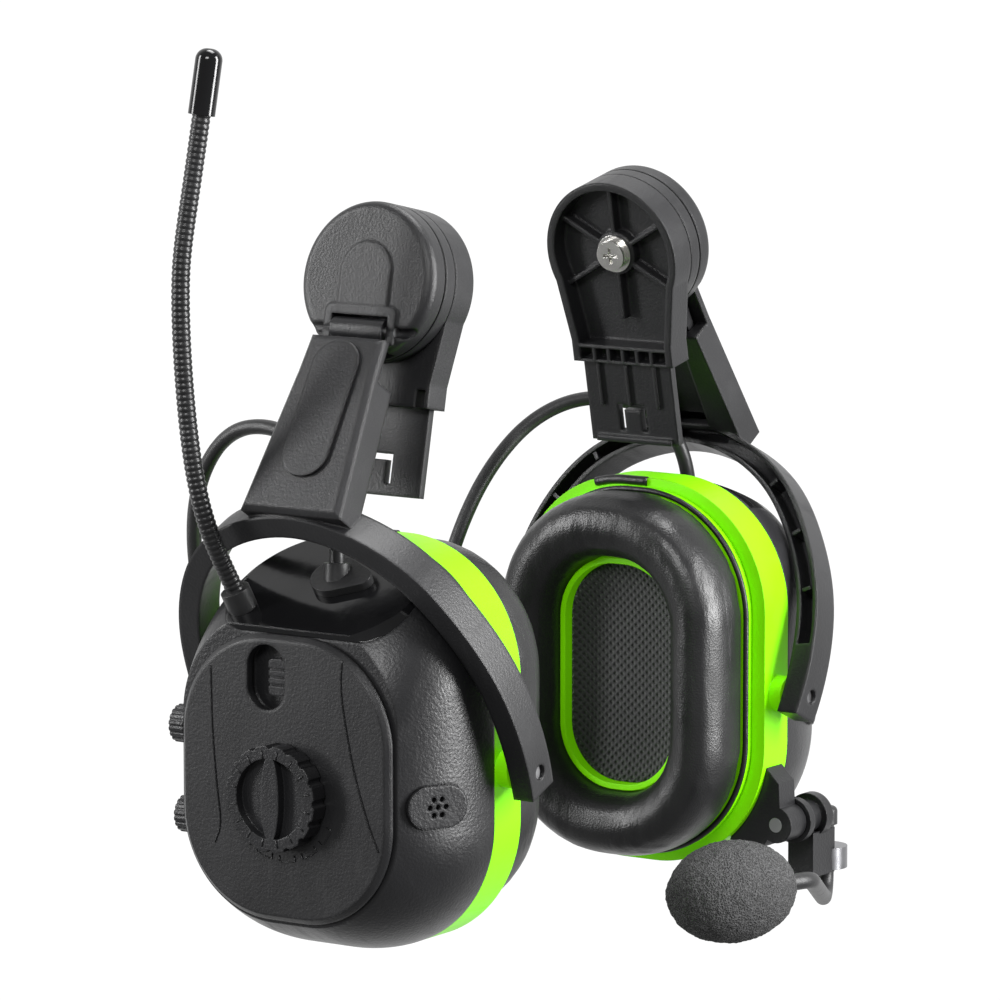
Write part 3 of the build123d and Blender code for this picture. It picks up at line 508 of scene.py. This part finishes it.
def liners():
    """Knitted mesh over the foam, slightly sunk in the middle."""
    for name, side in SIDES:
        rim = rounded_rectangle(*LINER, LINER_AROUND)
        vertices = []
        for back, base in ((False, LINER_FRONT), (True, LINER_BACK)):
            for k in range(LINER_RINGS):
                share = 1 - k / LINER_RINGS
                dip = 0.0 if back else 1.6 * (1 - share ** 3) - 0.9 * share ** 10
                vertices += [cup_point(side, x * share, y * share, base + dip) for x, y in rim]
        count = len(rim)
        front = ring_faces(LINER_RINGS, count)
        back = [tuple(i + LINER_RINGS * count for i in face)[::-1] for face in front]
        wall = [(j, (j + 1) % count, (j + 1) % count + LINER_RINGS * count, j + LINER_RINGS * count)[::-1]
                for j in range(count)]
        ends = [tuple(range((LINER_RINGS - 1) * count, LINER_RINGS * count)),
                tuple(range((2 * LINER_RINGS - 1) * count, 2 * LINER_RINGS * count))[::-1]]
        liner = build_mesh(f"liner_cloth_{name}", vertices, front + back + wall + ends)
        tidy_normals(liner)
        finish_piece(liner, f"{name}_cup", "foam_liner")
        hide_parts(f"foam_liner_{name}")


def tidy_normals(piece):
    work = bmesh.new()
    work.from_mesh(piece.data)
    bmesh.ops.recalc_face_normals(work, faces=work.faces)
    work.to_mesh(piece.data)
    work.free()


# Antenna whip with its coil ribs
RIB_PITCH, RIB_DEPTH, WHIP_R = 1.5 * MM, 0.22 * MM, 2.42 * MM
LEVELS = 24      # heights at which the line up its middle is read


def middle_line(node):
    """Centres of a node's outline at heights up its length, from where its edges cross them."""
    low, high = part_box(node)
    mesh = frame["nodes"][node].data
    ends = [(mesh.vertices[a].co, mesh.vertices[b].co) for a, b in (edge.vertices for edge in mesh.edges)]
    line = []
    for i in range(LEVELS):
        z = low.z + (high.z - low.z) * (0.02 + 0.96 * i / (LEVELS - 1))
        hits = [a.lerp(b, (z - a.z) / (b.z - a.z)) for a, b in ends if min(a.z, b.z) < z < max(a.z, b.z)]
        line.append(Vector(((min(p.x for p in hits) + max(p.x for p in hits)) / 2,
                            (min(p.y for p in hits) + max(p.y for p in hits)) / 2, z)))
    return line



def smooth_line(points, step):
    """Catmull-Rom line through the points with an even step."""
    line = []
    for i in range(len(points) - 1):
        p = [points[max(i - 1, 0)], points[i], points[i + 1], points[min(i + 2, len(points) - 1)]]
        count = max(1, round((p[2] - p[1]).length / step))
        for k in range(count):
            t = k / count
            line.append(0.5 * (2 * p[1] + (p[2] - p[0]) * t + (2 * p[0] - 5 * p[1] + 4 * p[2] - p[3]) * t ** 2
                               + (3 * p[1] - p[0] - 3 * p[2] + p[3]) * t ** 3))
    return line + [points[-1]]


def whip():
    """Rubber over a coil: fine ribs all the way up."""
    line = middle_line("antenna_whip")
    line = [line[0] + (line[0] - line[1]).normalized() * WHIP_R] + line
    line = smooth_line(line + [line[-1] + (line[-1] - line[-2]).normalized() * 2 * WHIP_R], RIB_PITCH / 6)
    radii, run = [], 0.0
    for i, point in enumerate(line):
        run += (point - line[i - 1]).length if i else 0.0
        radii.append(WHIP_R - RIB_DEPTH * (0.5 + 0.5 * cos(2 * pi * run / RIB_PITCH)) ** 2)
    piece = finish_piece(tube("antenna_coil", line, radii, 28), "right_cup", "antenna_rubber")
    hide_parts("antenna_whip")


SCREEN_TURN, SCREEN_LONG, SCREEN_ROUND = 20, 19.3, 13.6      # turn in degrees, half sizes in millimetres


def windscreen():
    """Foam ball over the microphone, drawn out along the boom."""
    low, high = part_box("mic_windscreen")
    middle = (low + high) / 2
    axis = Vector((-cos(radians(SCREEN_TURN)), sin(radians(SCREEN_TURN)), 0))
    across = axis.cross(Vector((0, 0, 1)))
    work = bmesh.new()
    bmesh.ops.create_icosphere(work, subdivisions=6, radius=1.0)
    for vertex in work.verts:
        u = vertex.co.copy()
        p = axis * u.x * SCREEN_LONG + (across * u.y + Vector((0, 0, 1)) * u.z) * SCREEN_ROUND
        grain = noise.noise(p * 1.4) * 0.32 + noise.noise(p * 0.35) * 0.3
        vertex.co = middle + (p + p.normalized() * grain) * MM
    mesh = bpy.data.meshes.new("windscreen_foam")
    work.to_mesh(mesh)
    work.free()
    mesh.shade_smooth()
    foam = bpy.data.objects.new("windscreen_foam", mesh)
    bpy.context.scene.collection.objects.link(foam)
    finish_piece(foam, "mic_boom", "windscreen_foam")
    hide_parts("mic_windscreen")


# Raised lines and marks on the controls
FACE_Z, DIAL_TOP = 42.5, 48.0
DIAL = (-4.0, -10.2)
FACE_LINES = (((14.8, 26.6), (14.4, 20), (15.4, 12), (18.5, -2), (22.5, -14), (25.8, -21.5)),
              ((-26.4, 21.5), (-26.2, 14), (-25.9, 5), (-24.8, -8), (-23.6, -19), (-25.4, -24.5)))
BAR_R, BAR_ANGLES, BAR_HALF = 17.0, (-135, -110, -84.5, -59, -34), 8.5
TICKS, TICK_FROM, TICK_TO = 16, 10.4, 12.6
LINE_R, BAR_LINE_R, BAR_HOOK, TICK_R = 0.3 * MM, 0.22 * MM, 1.6, 0.26 * MM


def on_dial(r, t, height):
    """Point at radius r and angle t around the dial."""
    return cup_point(-1, DIAL[0] + r * cos(t), DIAL[1] + r * sin(t), height)


def marks():
    """Seams, level bars and dial ticks of the face with the controls."""
    for i, corners in enumerate(FACE_LINES):
        line = smooth_line([cup_point(-1, x, y, FACE_Z) for x, y in corners], 0.5 * MM)
        finish_piece(tube(f"face_line_{i + 1}", line, LINE_R, 10), "right_cup", "cup_black")
    for i, angle in enumerate(BAR_ANGLES):
        turns = [radians(angle + BAR_HALF * k / 4) for k in range(-4, 5)]
        line = [on_dial(BAR_R, t, FACE_Z) for t in turns]
        hooks = [on_dial(BAR_R - BAR_HOOK, t, FACE_Z) for t in (turns[0], turns[-1])]
        finish_piece(tube(f"level_bar_{i + 1}", [hooks[0]] + line + [hooks[1]], BAR_LINE_R, 8),
                     "right_cup", "control_black")
    for i in range(TICKS):
        t = 2 * pi * (i + 0.5) / TICKS
        line = [on_dial(r, t, DIAL_TOP) for r in (TICK_FROM, TICK_TO)]
        finish_piece(tube(f"dial_tick_{i + 1}", line, TICK_R, 8), "dial", "control_black")


NOTCH_FROM, NOTCH_TO, NOTCH_R, NOTCH_Z = -14.5, 2.0, 1.3, -0.9
RING_WIDTH, RING_HEIGHT, RING_CORNER = 80.0, 106.0, 35.0


def notches():
    """Dark slot in the inboard edge of each green ring, above the cushion."""
    straight = RING_WIDTH / 2 - RING_CORNER
    for name, side in SIDES:
        line = []
        for i in range(25):
            x = NOTCH_FROM + (NOTCH_TO - NOTCH_FROM) * i / 24
            past = max(0.0, abs(x) - straight)
            y = RING_HEIGHT / 2 - RING_CORNER + (RING_CORNER ** 2 - past ** 2) ** 0.5
            line.append(cup_point(side, x, y - NOTCH_R * 0.7, NOTCH_Z))
        finish_piece(tube(f"ring_notch_{name}", line, NOTCH_R * MM, 12), f"{name}_cup", "dark_nylon")


EDGE, EDGE_Z, EDGE_R, EDGE_SIDES = (71.0, 100.0, 33.2), -3.4, 0.8 * MM, 8


def piping():
    """Welded edge where each cushion meets its ring."""
    for name, side in SIDES:
        rim = [cup_point(side, x, y, EDGE_Z) for x, y in rounded_rectangle(*EDGE, AROUND)]
        vertices = []
        for i, point in enumerate(rim):
            run = (rim[(i + 1) % AROUND] - rim[i - 1]).normalized()
            axis = Vector((side, 0, 0))
            across = run.cross(axis)
            turns = [2 * pi * j / EDGE_SIDES for j in range(EDGE_SIDES)]
            vertices += [point + (axis * cos(t) + across * sin(t)) * EDGE_R for t in turns]
        edge = build_mesh(f"cushion_edge_{name}", vertices, ring_faces(AROUND, EDGE_SIDES, close_along=True))
        tidy_normals(edge)
        finish_piece(edge, f"{name}_cup", "cushion_vinyl")


place_camera()
cable()
studio()
dress_nodes()
cushions()
liners()
windscreen()
whip()
marks()
notches()
piping()
